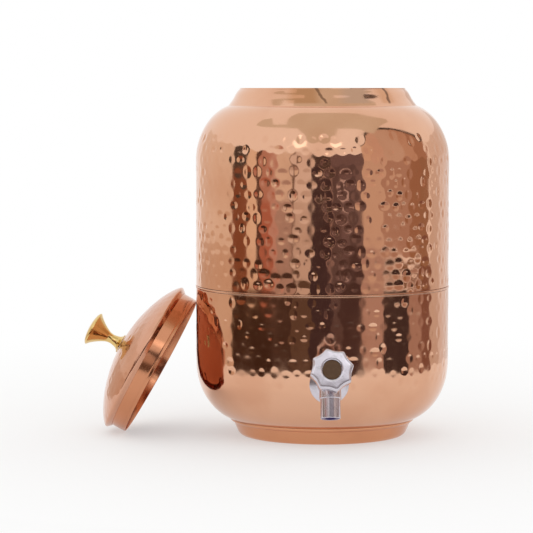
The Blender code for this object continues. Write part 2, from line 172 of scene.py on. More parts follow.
# Frames that pieces are turned about: each one's local Z is the axis
HANDLE_JOINT = JOINTS["handle_turn"]
TAP_CENTRE = -HANDLE_JOINT["pos_m"][1]
VALVE_FRAME = frame_at(HANDLE_JOINT["pos_m"], HANDLE_JOINT["axis"])
SHANK_HEIGHT = (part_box("lock_nut")[0][2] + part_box("lock_nut")[1][2]) / 2
SHANK_FRAME = frame_at((0.0, 0.0, SHANK_HEIGHT), (0.0, -1.0, 0.0))
SPOUT_FRAME = VALVE_FRAME @ Matrix.Translation((0, 0, SPOUT_OFFSET)) @ Matrix.Rotation(pi / 2, 4, "X")
LID_AXIS = Vector(JOINTS["lid_lift"]["axis"])
SKIRT_MIDDLE = (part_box("lid_skirt")[0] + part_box("lid_skirt")[1]) / 2
LID_FRAME = frame_at(SKIRT_MIDDLE - LID_AXIS * (SKIRT_LOW + SKIRT_HIGH) / 2, LID_AXIS, (0.0, 0.0, 1.0))

# The camera and the cards round the pot
CAMERA_PLACE = (-0.107, -2.037, 0.2976)
CAMERA_TURN = (radians(85.7), 0.0, radians(-1.66))
CAMERA_LENS = 160.4
VIEW_TURN = atan2(CAMERA_PLACE[0], -CAMERA_PLACE[1])
CARD_DISTANCE = 0.60
NEAR_TOP = 0.26
MIDDLE_TOP = 0.232
LOW_TOP = 0.092
FLOOR_CARD_NEAR = 0.47
FLOOR_CARD_HEIGHT = 1.0 * MM
CARD_STEP = 2.0                    # degrees
FAR_DISTANCE = 1.5
FAR_LOW = 0.20
FAR_TOP = 0.70
FAR_MIDDLE_TOP = 0.62
ARCH_ANGLES = (18.2, 20.0, 24.0, 28.5, 32.0, 38.0, 44.0, 50.0, 55.5)
ARCH_HEIGHTS = (0.90, 1.1, 1.5, 1.8, 1.85, 1.75, 1.5, 1.1, 0.75)
ARCH_LINE = 0.13
OVERHEAD_HEIGHT = 1.0
SHOULDER_RING = 90.0 * MM          # radius of the shoulder where it mirrors the card overhead

# The floor and the lights
FLOOR_HALF = 40.0
FLOOR_COLOUR = (0.93, 0.93, 0.925)
FLOOR_GLOW = 0.45                  # share of the floor's glow under the pot
FLOOR_FADE = (0.15, 0.9)           # distances where the floor starts and ends fading to white
LIGHT_TARGET = (0.0, 0.0, 0.2)


# Outlines, as (radius, height) points running down the outer side

def superellipse(centre, radii, power, start, end, steps):
    """Points from start to end, in degrees: 0 lies at +radius and 90 at +height."""
    points = []
    for step in range(steps + 1):
        angle = radians(start + (end - start) * step / steps)
        across = copysign(abs(cos(angle)) ** (2 / power), cos(angle))
        up = copysign(abs(sin(angle)) ** (2 / power), sin(angle))
        points.append((centre[0] + radii[0] * across, centre[1] + radii[1] * up))
    return points


def rounded(corners, steps=4):
    """An outline with its corners rounded off: each corner is (radius, height) or
    (radius, height, how far back from the corner the rounding starts)."""
    points = []
    for index, corner in enumerate(corners):
        here = Vector(corner[:2])
        reach = corner[2] if len(corner) > 2 else 0.0
        if reach == 0.0:
            points.append(tuple(here))
            continue
        before = here + (Vector(corners[index - 1][:2]) - here).normalized() * reach
        after = here + (Vector(corners[(index + 1) % len(corners)][:2]) - here).normalized() * reach
        for step in range(steps + 1):
            t = step / steps
            points.append(tuple((1 - t) ** 2 * before + 2 * t * (1 - t) * here + t ** 2 * after))
    return points


def in_mm(*corners):
    """Corners given in millimetres, as corners in metres."""
    return [tuple(value * MM for value in corner) for corner in corners]


def offset(points, distance):
    """Move an outline sideways: to its right for a positive distance."""
    directions = [(Vector(b) - Vector(a)).normalized() for a, b in zip(points, points[1:])]
    rights = [Vector((direction.y, -direction.x)) for direction in directions]
    moved = []
    for point, before, after in zip(points, rights[:1] + rights, rights + rights[-1:]):
        middle = (before + after).normalized()
        shifted = Vector(point) + middle * distance / middle.dot(after)
        moved.append((0.0 if point[0] == 0.0 else shifted.x, shifted.y))
    return moved


def dense(points, longest):
    """The same outline with no stretch between points longer than asked."""
    filled = [points[0]]
    for start, end in zip(points, points[1:]):
        length = (Vector(end) - Vector(start)).length
        if length < 0.01 * MM:
            continue
        pieces = max(1, round(length / longest))
        for piece in range(1, pieces + 1):
            filled.append(tuple(Vector(start).lerp(Vector(end), piece / pieces)))
    return filled


# Hammering

def hammer_dents(outline, columns, top, bottom, seed, around=None, pitch=MARK_ROW_PITCH,
                 radius=MARK_RADIUS, depth=MARK_DEPTH):
    """How far each vertex of a turned outline is beaten in: an array (rows, columns), in metres.

    The marks lie in staggered rows between two heights, and each one's place, size and
    depth vary a little.
    """
    rng = np.random.default_rng(seed)
    points = np.array(outline)
    steps = np.linalg.norm(np.diff(points, axis=0), axis=1)
    along = np.concatenate([[0.0], np.cumsum(steps)])
    first, last = np.interp((-top, -bottom), -points[:, 1], along)
    rows = round((last - first) / pitch)
    angles = np.arange(columns) * 2 * pi / columns
    dents = np.zeros((len(points), columns))
    for row in range(rows + 1):
        centre = first + row * (last - first) / rows
        ring_radius = np.interp(centre, along, points[:, 0])
        count = round(2 * pi * ring_radius / around) if around else MARKS_AROUND
        shift = 0.5 * (row % 2) + 0.12 * rng.random()
        aside = rng.normal(0.0, 0.11, count)
        up = rng.normal(0.0, 0.11 * pitch, count)
        size = radius * rng.uniform(0.8, 1.15, count)
        stretch = rng.uniform(0.82, 1.22, count)
        deep = depth * np.clip(rng.lognormal(0.0, 0.55, count), 0.35, 2.6)
        near = np.abs(along - centre) < 1.5 * radius
        place = angles * count / (2 * pi) - shift
        for neighbour in (-1, 0, 1):
            slot = np.round(place).astype(int) + neighbour
            mark = slot % count
            across = (place - slot - aside[mark]) * 2 * pi / count
            sideways = across * points[near, 0][:, None]
            upwards = along[near][:, None] - centre - up[mark]
            reach = ((sideways / stretch[mark]) ** 2 + (upwards * stretch[mark]) ** 2) / size[mark] ** 2
            dent = deep[mark] * np.clip(1 - reach, 0, None) ** 1.25
            dents[near] = np.maximum(dents[near], dent)
    return dents


def spline(points, steps):
    """A smooth curve through the points."""
    control = [Vector(point) for point in points]
    control = [2 * control[0] - control[1]] + control + [2 * control[-1] - control[-2]]
    curve = [tuple(points[0])]
    for a, b, c, d in zip(control, control[1:], control[2:], control[3:]):
        for step in range(1, steps + 1):
            t = step / steps
            curve.append(tuple(b + (c - a) * (t / 2) + (2 * a - 5 * b + 4 * c - d) * (t * t / 2)
                               + (3 * b - a - 3 * c + d) * (t ** 3 / 2)))
    return curve


# Meshes

def revolve(name, outline, columns, material, place=Matrix(), shape=None, dents=None,
            sharp=SHARP_ANGLE):
    """Turn an outline about local Z. It closes on itself unless it ends on the axis.

    The shape is a function that moves the vertices' array (rows, columns, xyz). Dents push
    the first rows inwards, and are kept on the mesh as the attribute dent, which is -1 on
    the rows after them: the sheet's inside.
    """
    poles = outline[0][0] == 0.0 or outline[-1][0] == 0.0
    angles = np.arange(columns) * 2 * pi / columns
    rows = np.array(outline)
    verts = np.empty((len(rows), columns, 3))
    verts[..., 0] = rows[:, :1] * np.cos(angles)
    verts[..., 1] = rows[:, :1] * np.sin(angles)
    verts[..., 2] = rows[:, 1:]
    if dents is not None:
        inwards = np.array(offset(outline[:len(dents) + 1], 1.0))[:len(dents)] - rows[:len(dents)]
        inwards /= np.linalg.norm(inwards, axis=1)[:, None]
        push = dents * inwards[:, :1]
        verts[:len(dents), :, 0] += push * np.cos(angles)
        verts[:len(dents), :, 1] += push * np.sin(angles)
        verts[:len(dents), :, 2] += dents * inwards[:, 1:]
    if shape:
        verts = shape(verts)
    index = np.arange(len(rows) * columns).reshape(len(rows), columns)
    upper = index[:-1] if poles else index
    lower = index[1:] if poles else np.roll(index, -1, axis=0)
    quads = np.stack([upper, lower, np.roll(lower, -1, axis=1), np.roll(upper, -1, axis=1)], axis=-1)
    mesh = bpy.data.meshes.new(name)
    mesh.from_pydata(verts.reshape(-1, 3), [], quads.reshape(-1, 4).tolist())
    depth = mesh.attributes.new("dent", "FLOAT", "POINT")
    if dents is not None:
        values = np.full((len(rows), columns), -1.0)
        values[:len(dents)] = dents / max(dents.max(), 1e-9)
        depth.data.foreach_set("value", values.ravel())
    if poles:
        merge_on_axis(mesh)
    mesh.shade_smooth()
    mesh.set_sharp_from_angle(angle=radians(sharp))
    mesh.materials.append(material)
    obj = bpy.data.objects.new(name, mesh)
    obj.matrix_world = place
    bpy.context.scene.collection.objects.link(obj)
    return obj


def merge_on_axis(mesh):
    """Merge the rows of vertices that lie on the axis into one vertex each."""
    bm = bmesh.new()
    bm.from_mesh(mesh)
    on_axis = [vert for vert in bm.verts if vert.co.xy.length < 1e-7]
    bmesh.ops.remove_doubles(bm, verts=on_axis, dist=1e-6)
    bm.to_mesh(mesh)
    bm.free()


def combine(obj, tools, operation):
    """Join the tools to an object or cut them away, and apply it."""
    for tool in tools:
        boolean = obj.modifiers.new(tool.name, "BOOLEAN")
        boolean.object = tool
        boolean.operation = operation
        boolean.solver = "EXACT"
        bpy.context.view_layer.update()
        result = bpy.data.meshes.new_from_object(obj.evaluated_get(bpy.context.evaluated_depsgraph_get()))
        obj.modifiers.clear()
        obj.data = result
        bpy.data.objects.remove(tool)
    obj.data.shade_smooth()
    obj.data.set_sharp_from_angle(angle=radians(SHARP_ANGLE))


def attach(piece, body, slot, *nodes):
    """Ride on a body and stand for CAD nodes; the slot, the record's material slot, is not used."""
    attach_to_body(piece, body)
    if nodes:
        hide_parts(*nodes)
    return piece


def hexagon(beyond):
    """A shape that draws everything further out than a radius in to a hexagon's flats."""
    def shape(verts):
        radius = np.hypot(verts[..., 0], verts[..., 1])
        angle = np.arctan2(verts[..., 1], verts[..., 0])
        flat = cos(pi / 6) / np.cos(np.mod(angle, pi / 3) - pi / 6)
        factor = np.where(radius > beyond, flat, 1.0)
        verts[..., :2] *= factor[..., None]
        return verts
    return shape


# Materials

class Nodes:
    """Short names for adding and linking a material's nodes."""

    def __init__(self, name):
        self.material = bpy.data.materials.new(name)
        self.material.use_nodes = True
        self.tree = self.material.node_tree
        self.shader = self.tree.nodes["Principled BSDF"]
        self.object = self.add("ShaderNodeTexCoord").outputs["Object"]

    def add(self, kind, inputs=None, **settings):
        node = self.tree.nodes.new(kind)
        for key, value in settings.items():
            setattr(node, key, value)
        for key, value in (inputs or {}).items():
            self.set(node.inputs[key], value)
        return node

    def set(self, socket, value):
        if isinstance(value, bpy.types.NodeSocket):
            self.tree.links.new(value, socket)
        elif isinstance(value, tuple) and len(value) == 3 and socket.type == "RGBA":
            socket.default_value = (*value, 1.0)
        else:
            socket.default_value = value

    def stretched(self, scale):
        """Object coordinates scaled differently along each axis."""
        return self.add("ShaderNodeMapping", {"Vector": self.object, "Scale": scale}).outputs["Vector"]

    def noise(self, scale, detail=3.0, vector=None, roughness=0.5):
        """Grey noise from 0 to 1."""
        return self.add("ShaderNodeTexNoise", {
            "Vector": vector or self.object, "Scale": scale, "Detail": detail,
            "Roughness": roughness}).outputs["Fac"]

    def spread(self, value, low, high, to_low=0.0, to_high=1.0):
        """A value mapped smoothly from one range to another."""
        return self.add("ShaderNodeMapRange", {
            "Value": value, "From Min": low, "From Max": high, "To Min": to_low,
            "To Max": to_high}, interpolation_type="SMOOTHSTEP").outputs["Result"]

    def blend(self, amount, first, second):
        """A colour between two colours."""
        return self.add("ShaderNodeMix", {0: amount, 6: first, 7: second}, data_type="RGBA").outputs[2]

    def maths(self, operation, first, second):
        return self.add("ShaderNodeMath", {0: first, 1: second}, operation=operation).outputs[0]

    def bump(self, height, strength, distance, normal=None):
        inputs = {"Height": height, "Strength": strength, "Distance": distance}
        if normal:
            inputs["Normal"] = normal
        return self.add("ShaderNodeBump", inputs).outputs["Normal"]

    def surface(self, **inputs):
        for key, value in inputs.items():
            self.set(self.shader.inputs[key.replace("_", " ").title().replace("Ior", "IOR")], value)
        return self.material


def paint_neck_reflections(nodes, tone, painted_reflections):
    """Painted reflection on the neck: bands that run down it, some of them slanted, standing for the room
    mirrored there.

    Each band has a middle and a half width across the front, a slant, a colour and a strength.
    """
    position = nodes.add("ShaderNodeSeparateXYZ", {"Vector": nodes.object})
    on_neck = nodes.spread(position.outputs["Z"], NECK_REFLECTION_HEIGHT, NECK_REFLECTION_HEIGHT + 2 * MM)
    below_lip = nodes.maths("SUBTRACT", POT_HEIGHT, position.outputs["Z"])
    wobble = nodes.spread(nodes.noise(60.0, 4.0), 0.25, 0.75, -NECK_REFLECTION_WOBBLE, NECK_REFLECTION_WOBBLE)
    across = nodes.maths("ADD", position.outputs["X"], wobble)
    for middle, half_width, slant, colour, strength in painted_reflections:
        shift = nodes.maths("ADD", nodes.maths("MULTIPLY", below_lip, slant), middle)
        aside = nodes.maths("ABSOLUTE", nodes.maths("SUBTRACT", across, shift), 0.0)
        amount = nodes.spread(aside, 0.4 * half_width, 1.2 * half_width, strength, 0.0)
        tone = nodes.blend(nodes.maths("MULTIPLY", amount, on_neck), tone, colour)
    return tone


def polished_metal(name, colour, tarnish, smooth, rough, lines=0.0, dents=False, painted_reflections=(),
                   inside=None):
    """Polished metal: uneven tone, hairline scratches, and turning lines where it was spun.

    It can have painted reflections on the neck, and another colour inside, which is painted reflection of
    the copper within its own hollow.
    """
    nodes = Nodes(name)
    patches = nodes.spread(nodes.noise(18.0, 4.0), 0.42, 0.72, 0.0, 0.5)
    tone = nodes.blend(patches, colour, tarnish)
    if dents:
        depth = nodes.add("ShaderNodeAttribute", attribute_name="dent").outputs["Fac"]
        tone = nodes.blend(nodes.spread(depth, 0.0, 1.0, 0.0, 0.25), tone, tarnish)
        # Painted reflection: the sheet's inner face gets a deeper colour standing for the copper mirroring
        # itself inside the hollow
        if inside:
            tone = nodes.blend(nodes.spread(depth, -1.0, -0.5, 1.0, 0.0), tone, inside)
    # Painted reflection: streaks on the neck that stand for the room mirrored there
    if painted_reflections:
        tone = paint_neck_reflections(nodes, tone, painted_reflections)
    smears = nodes.noise(55.0, 5.0, nodes.stretched((1.0, 1.0, 0.35)))
    roughness = nodes.spread(smears, 0.3, 0.75, smooth, rough)
    hairlines = nodes.noise(900.0, 2.0, nodes.stretched((1.0, 1.0, 0.06)))
    normal = nodes.bump(hairlines, 0.06, 0.0001)
    if lines:
        rings = nodes.noise(1500.0, 2.0, nodes.stretched((0.01, 0.01, 1.0)))
        normal = nodes.bump(rings, lines, 0.0001, normal)
    return nodes.surface(base_color=tone, metallic=1.0, roughness=roughness, normal=normal)


def chrome(name, metallic):
    """Chrome plate with faint water marks."""
    nodes = Nodes(name)
    marks = nodes.spread(nodes.noise(240.0, 5.0), 0.5, 0.75, 0.0, 1.0)
    tone = nodes.blend(marks, (0.66, 0.62, 0.68), (0.57, 0.55, 0.59))
    roughness = nodes.maths("ADD", nodes.maths("MULTIPLY", marks, 0.10), 0.2)
    normal = nodes.bump(nodes.noise(150.0, 3.0), 0.05, 0.0004)
    return nodes.surface(base_color=tone, metallic=metallic, roughness=roughness, normal=normal)


def rubber():
    """Black moulded rubber, slightly dusty."""
    nodes = Nodes("black_rubber")
    dust = nodes.spread(nodes.noise(300.0, 6.0), 0.45, 0.8)
    tone = nodes.blend(dust, (0.012, 0.012, 0.013), (0.06, 0.058, 0.055))
    normal = nodes.bump(nodes.noise(1800.0, 4.0), 0.25, 0.0001)
    return nodes.surface(base_color=tone, roughness=0.62, normal=normal)


def plastic(name, colour, worn, roughness, coat):
    """Moulded plastic with a little wear."""
    nodes = Nodes(name)
    wear = nodes.spread(nodes.noise(260.0, 5.0), 0.45, 0.8)
    tone = nodes.blend(wear, colour, worn)
    normal = nodes.bump(nodes.noise(900.0, 4.0), 0.12, 0.0001)
    return nodes.surface(base_color=tone, roughness=roughness, normal=normal, coat_weight=coat,
                         specular_ior_level=0.3)


COPPER = (0.76, 0.435, 0.285)
COPPER_DEEP = (0.64, 0.31, 0.18)
# The neck's streaks in this material are painted reflection of the room, not tarnish
hammered_copper = polished_metal("hammered_copper", COPPER, COPPER_DEEP, 0.06, 0.15, dents=True,
                                 painted_reflections=NECK_PAINTED_REFLECTIONS)
# Painted shade: a darker, redder copy of the pot's copper for the lid, where it mirrors shaded surroundings;
# its inside colour is painted reflection of the copper within the lid
lid_copper_painted_shade = polished_metal("lid_copper_painted_shade", (0.68, 0.36, 0.24), (0.56, 0.26, 0.15), 0.1, 0.22, dents=True,
                            inside=(0.50, 0.15, 0.07))
# Painted reflection: a deeper orange copy of the copper for the foot, standing for the copper-lit floor
# mirrored in it
spun_copper_painted_reflection = polished_metal("polished_copper", (0.73, 0.35, 0.19), (0.60, 0.26, 0.14), 0.12, 0.24,
                             lines=0.08)
# Painted shade: a darker copy of the copper for the lid's skirt
skirt_copper_painted_shade = polished_metal("skirt_copper_painted_shade", (0.62, 0.27, 0.145), (0.50, 0.20, 0.10), 0.1, 0.22, lines=0.08)
brazing = polished_metal("brazing_metal", (0.74, 0.43, 0.29), (0.60, 0.31, 0.19), 0.16, 0.3)
brass = polished_metal("polished_brass", (0.78, 0.55, 0.22), (0.50, 0.30, 0.10), 0.1, 0.24, lines=0.15)
plain_brass = polished_metal("plain_brass", (0.70, 0.54, 0.28), (0.45, 0.32, 0.14), 0.2, 0.4, lines=0.3)
chrome_plate = chrome("chrome_plate", 0.95)
satin_chrome = chrome("satin_chrome", 0.85)
black_rubber = rubber()
brown_plastic = plastic("brown_plastic", (0.085, 0.040, 0.016), (0.115, 0.058, 0.026), 0.5, 0.0)
blue_plastic = plastic("blue_plastic", (0.030, 0.022, 0.14), (0.06, 0.05, 0.22), 0.35, 0.2)


# The pot

def sheet(outside, plain):
    """Outline of sheet whose outer side is given, and again plainly for its inside, with fewer points."""
    return outside + offset(plain, SHEET)[::-1]


def wall_ripple(verts):
    """A shape that makes the beaten wall slightly uneven, except near the seam and both ends."""
    rng = np.random.default_rng(5)
    height = verts[..., 2]
    angle = np.arctan2(verts[..., 1], verts[..., 0])
    total = np.zeros(height.shape)
    for _ in range(RIPPLE_WAVES):
        turns = rng.integers(3, 13)
        wavelength = rng.uniform(40.0, 110.0) * MM
        total += np.sin(turns * angle + 2 * pi * height / wavelength + rng.uniform(0, 2 * pi))
    fade = np.clip((height - RIPPLE_BOTTOM) / RIPPLE_FADE, 0, 1)
    fade *= np.clip((RIPPLE_TOP - height) / RIPPLE_FADE, 0, 1)
    fade *= np.clip((np.abs(height - SEAM_HEIGHT) - RIPPLE_SEAM_GAP) / RIPPLE_SEAM_FADE, 0, 1)
    radius = np.maximum(np.hypot(verts[..., 0], verts[..., 1]), MM)
    verts[..., :2] *= (1 - RIPPLE_DEPTH * (1 + total / RIPPLE_WAVES ** 0.5) * fade / radius)[..., None]
    return verts


def make_upper_shell():
    """Neck, shoulder and upper wall, with the lip turned in as a ledge for the lid."""
    lip = rounded([
        (MOUTH_RADIUS, POT_HEIGHT - 2.4 * MM),
        (MOUTH_RADIUS, POT_HEIGHT, 0.7 * MM),
        (LIP_RADIUS, POT_HEIGHT, 0.7 * MM),
        (LIP_RADIUS, POT_HEIGHT - 0.7 * MM),
    ])
    neck = in_mm((73.6, 293.6), (76.6, 288.2), (78.9, 284.9))
    centre = (POT_RADIUS - SHOULDER_RADII[0], SHOULDER_HEIGHT)
    shoulder = superellipse(centre, SHOULDER_RADII, SHOULDER_POWER, 74, 0, 48)
    plain = [
        (MOUTH_RADIUS, POT_HEIGHT - 2.4 * MM),
        (MOUTH_RADIUS, POT_HEIGHT),
        (LIP_RADIUS, POT_HEIGHT),
    ]
    bottom = (POT_RADIUS, SEAM_HEIGHT + 1.2 * MM)
    smooth = dense(lip + spline(lip[-1:] + neck + shoulder[:1], 4)[1:], 2 * MM)
    beaten = dense(shoulder[1:] + [bottom], GRID)
    dents = np.zeros((len(smooth) + len(beaten), POT_COLUMNS))
    dents[len(smooth):] = hammer_dents(beaten, POT_COLUMNS, HAMMER_TOP, SEAM_HEIGHT + SMOOTH_ABOVE_SEAM,
                                       seed=1)
    inside = plain + neck + shoulder[::4] + [(POT_RADIUS, SHOULDER_HEIGHT - 50 * MM), bottom]
    shell = revolve("upper_shell_hammered", sheet(smooth + beaten, inside), POT_COLUMNS,
                    hammered_copper, shape=wall_ripple, dents=dents)
    attach(shell, "pot", "hammered_copper", "upper_shell")


def make_lower_shell():
    """Lower wall and bowl, stepped in at the top to lap inside the upper shell."""
    lap_radius = POT_RADIUS - SHEET - 0.3 * MM
    lap = [(lap_radius, LAP_TOP), (lap_radius, SEAM_HEIGHT), (POT_RADIUS, SEAM_HEIGHT - 1.6 * MM)]
    centre = (POT_RADIUS - BOWL_RADII[0], BOWL_HEIGHT)
    bowl = superellipse(centre, BOWL_RADII, BOWL_POWER, 0, -90, 60)
    bottom = [(0.0, BOWL_HEIGHT - BOWL_RADII[1])]
    beaten_end = sum(point[1] > HAMMER_BOTTOM - 8 * MM for point in bowl)
    beaten = dense(lap[-1:] + bowl[:beaten_end], GRID)
    dents = np.zeros((2 + len(beaten), POT_COLUMNS))
    dents[2:] = hammer_dents(beaten, POT_COLUMNS, SEAM_HEIGHT - 6 * MM, HAMMER_BOTTOM, seed=2,
                             depth=LOWER_MARK_DEPTH)
    outside = lap[:2] + beaten + bowl[beaten_end::2] + bottom
    inside = lap + [(POT_RADIUS, 95 * MM)] + bowl[::6] + bottom
    shell = revolve("lower_shell_hammered", sheet(outside, inside), POT_COLUMNS,
                    hammered_copper, shape=wall_ripple, dents=dents)
    hole = revolve("tap_hole", rod(WALL_HOLE, 0.9 * POT_RADIUS, 1.1 * POT_RADIUS), BORE_COLUMNS,
                   hammered_copper, SHANK_FRAME)
    combine(shell, [hole], "DIFFERENCE")
    attach(shell, "pot", "hammered_copper", "lower_shell")


def make_brazed_seam():
    """The bead of brazing metal round the lap, filed almost flush."""
    inner = POT_RADIUS - 0.9 * MM
    bead = rounded([
        (inner, SEAM_HIGH),
        (POT_RADIUS + 0.1 * MM, SEAM_HIGH - 0.2 * MM, 0.2 * MM),
        (POT_RADIUS + 0.25 * MM, SEAM_HEIGHT - 0.2 * MM, 0.5 * MM),
        (POT_RADIUS + 0.1 * MM, SEAM_LOW + 0.2 * MM, 0.2 * MM),
        (inner + 0.3 * MM, SEAM_HEIGHT + 0.2 * MM),
    ])
    seam = revolve("brazed_seam_bead", bead, SEAM_COLUMNS, brazing)
    attach(seam, "pot", "brazing_metal", "brazed_seam")


def make_foot():
    """Shallow spun pan: flat underside, tapered side and a rolled collar under the bowl."""
    corners = [
        (FOOT_COLLAR_RADIUS + 0.25 * MM, FOOT_HEIGHT + 0.4 * MM),
        (FOOT_COLLAR_RADIUS + 0.25 * MM, FOOT_HEIGHT - 0.9 * MM, 0.5 * MM),
        (FOOT_COLLAR_RADIUS - 1.2 * MM, FOOT_HEIGHT - 2.1 * MM, 0.7 * MM),
        (FOOT_COLLAR_RADIUS - 2.7 * MM, FOOT_HEIGHT - 2.5 * MM, 0.8 * MM),
        (FOOT_RADIUS + 1.8 * MM, 2.0 * MM, 1.6 * MM),
        (FOOT_RADIUS - 0.6 * MM, 0.0, 0.9 * MM),
        (0.0, 0.0),
    ]
    outside = rounded(corners)
    plain = [corner[:2] for corner in corners]
    foot = revolve("foot_pan_spun", sheet(outside, plain), RING_COLUMNS, spun_copper_painted_reflection)
    attach(foot, "pot", "polished_copper", "foot_pan")


# The lid, in a frame whose local Z runs out through the knob from the centre of the rim

def make_lid_dome():
    """Spun dome, lightly beaten, with its edge folded under."""
    hole_radius = 2.4 * MM
    radii = [LID_RADIUS * sin(pi / 2 * step / DOME_STEPS) for step in range(DOME_STEPS + 1)]
    radii = [hole_radius] + [radius for radius in radii if radius > hole_radius]
    dome = [(radius, LID_DOME_HEIGHT * (1 - (radius / LID_RADIUS) ** 2) ** LID_DOME_POWER)
            for radius in radii]
    fold = rounded([
        (LID_RADIUS, 0.0),
        (LID_RADIUS, -1.3 * MM, 0.7 * MM),
        (SKIRT_RADIUS + 1.0 * MM, -4.5 * MM),
    ])
    dents = hammer_dents(dome, LID_COLUMNS, dome[DOME_MARKS_FIRST][1], dome[DOME_MARKS_LAST][1], seed=3,
                         around=LID_MARK_SPACING, pitch=LID_MARK_ROW_PITCH, radius=LID_MARK_RADIUS,
                         depth=LID_MARK_DEPTH)
    plain = dome[::8] + [(LID_RADIUS, -0.8 * MM), (LID_RADIUS - 0.6 * MM, -1.6 * MM), fold[-1]]
    dents = np.pad(dents, ((0, len(fold) - 1), (0, 0)))
    piece = revolve("lid_dome_beaten", sheet(dome + fold[1:], plain), LID_COLUMNS,
                    lid_copper_painted_shade, LID_FRAME, dents=dents)
    attach(piece, "lid", "hammered_copper", "lid_dome")


def make_lid_skirt():
    """Plain ring under the dome that drops into the pot's mouth, its free edge turned over."""
    inner = SKIRT_RADIUS - SHEET
    ring = rounded([
        (inner, SKIRT_HIGH),
        (SKIRT_RADIUS, SKIRT_HIGH),
        (SKIRT_RADIUS, SKIRT_LOW + 3.0 * MM, 0.6 * MM),
        (SKIRT_RADIUS - 0.25 * MM, SKIRT_LOW + 2.6 * MM, 0.3 * MM),
        (SKIRT_RADIUS, SKIRT_LOW, 0.5 * MM),
        (inner, SKIRT_LOW, 0.4 * MM),
    ])
    piece = revolve("lid_skirt_ring", ring, RING_COLUMNS, skirt_copper_painted_shade, LID_FRAME)
    attach(piece, "lid", "polished_copper", "lid_skirt")


def make_lid_knob():
    """Turned brass knob shaped like a trumpet, with a crisp edge and a low crown."""
    hole = in_mm((0, 12), (1.8, 12), (1.8, 0), (8.3, 0), (8.5, 0.3), (8.3, 0.7))
    stem = spline(in_mm((8.3, 0.7), (6.9, 1.5), (5.2, 3.6), (4.2, 7.6), (4.1, 10), (5, 13.6), (8, 19),
                        (11.8, 24), (14.5, 26.6)), 5)
    crown = superellipse((0.0, KNOB_EDGE), (KNOB_RADIUS, KNOB_HEIGHT - KNOB_EDGE), 2, 0, 90, 16)
    outline = [(radius, KNOB_BASE + height) for radius, height in hole + stem[1:] + crown[:-1]]
    knob = revolve("lid_knob_turned", outline + [(0.0, KNOB_BASE + KNOB_HEIGHT)], SMALL_COLUMNS, brass,
                   LID_FRAME, sharp=KNOB_SHARP_ANGLE)
    attach(knob, "lid", "polished_brass", "lid_knob")


# The tap

def rod(radius, low, high):
    """Outline of a plain rod on the axis."""
    return [(0.0, low), (radius, low), (radius, high), (0.0, high)]


def threaded(radius, low, high):
    """Outline points up a thread, drawn as rings."""
    turns = int((high - low) / THREAD_PITCH)
    points = []
    for turn in range(turns):
        base = low + turn * THREAD_PITCH
        points += [(radius - THREAD_DEPTH, base + 0.1 * THREAD_PITCH), (radius, base + 0.5 * THREAD_PITCH)]
    return points + [(radius - THREAD_DEPTH, low + turns * THREAD_PITCH + 0.1 * THREAD_PITCH)]


def upwards(outline):
    """The same outline, which ran up its outer side, turned to run down it."""
    return outline[::-1]


def cup(centre, radii, mouth, steps):
    """Outline up a solid with a round bottom, a straight side and a flat top with a rounded edge."""
    side, depth = radii
    outline = superellipse((0.0, centre), (side, depth), 2, -90, 0, steps)
    outline += rounded([outline[-1], (side, mouth, 0.6 * MM), (0.0, mouth)])[1:]
    outline[0] = (0.0, outline[0][1])
    return upwards(outline)


def tap_casting(name, outline, place, columns=TAP_COLUMNS):
    """One turned part of the tap's casting, or a tool that bores it."""
    return revolve(name, outline, columns, chrome_plate, place)


def tap_shank():
    """Threaded shank with the wall flange and the neck that leads to the chamber."""
    face = GASKET_FACE + 0.3 * MM
    thread = threaded(SHANK_RADIUS, SHANK_INNER_END + 1 * MM, 103 * MM)
    outline = [(0.0, SHANK_INNER_END), (SHANK_RADIUS - 0.8 * MM, SHANK_INNER_END)] + thread + rounded([
        (SHANK_RADIUS, 104 * MM),
        (SHANK_RADIUS, face),
        (FLANGE_RADIUS, face),
        (FLANGE_RADIUS, face + 1.9 * MM, 0.8 * MM),
        (10.0 * MM, face + 3.1 * MM, 0.8 * MM),
        (9.0 * MM, face + 5 * MM, 0.8 * MM),
        (9.0 * MM, TAP_CENTRE + 1 * MM),
        (0.0, TAP_CENTRE + 1 * MM),
    ])
    return tap_casting("shank_outside", upwards(outline), SHANK_FRAME)


def tap_spout():
    """Spout with a thicker upper part and an opening in its end for the insert."""
    end = SPOUT_LENGTH
    outline = rounded([
        (0.0, 0.0),
        (8.4 * MM, 0.0),
        (8.9 * MM, 15.0 * MM),
        (8.9 * MM, 18.0 * MM, 0.3 * MM),
        (SPOUT_RADIUS, 18.4 * MM, 0.2 * MM),
        (SPOUT_RADIUS, end, 0.5 * MM),
        (SPOUT_OPENING, end, 0.2 * MM),
        (SPOUT_OPENING, end - 0.6 * MM),
        (0.0, end - 0.6 * MM),
    ])
    return tap_casting("spout_outside", upwards(outline), SPOUT_FRAME)


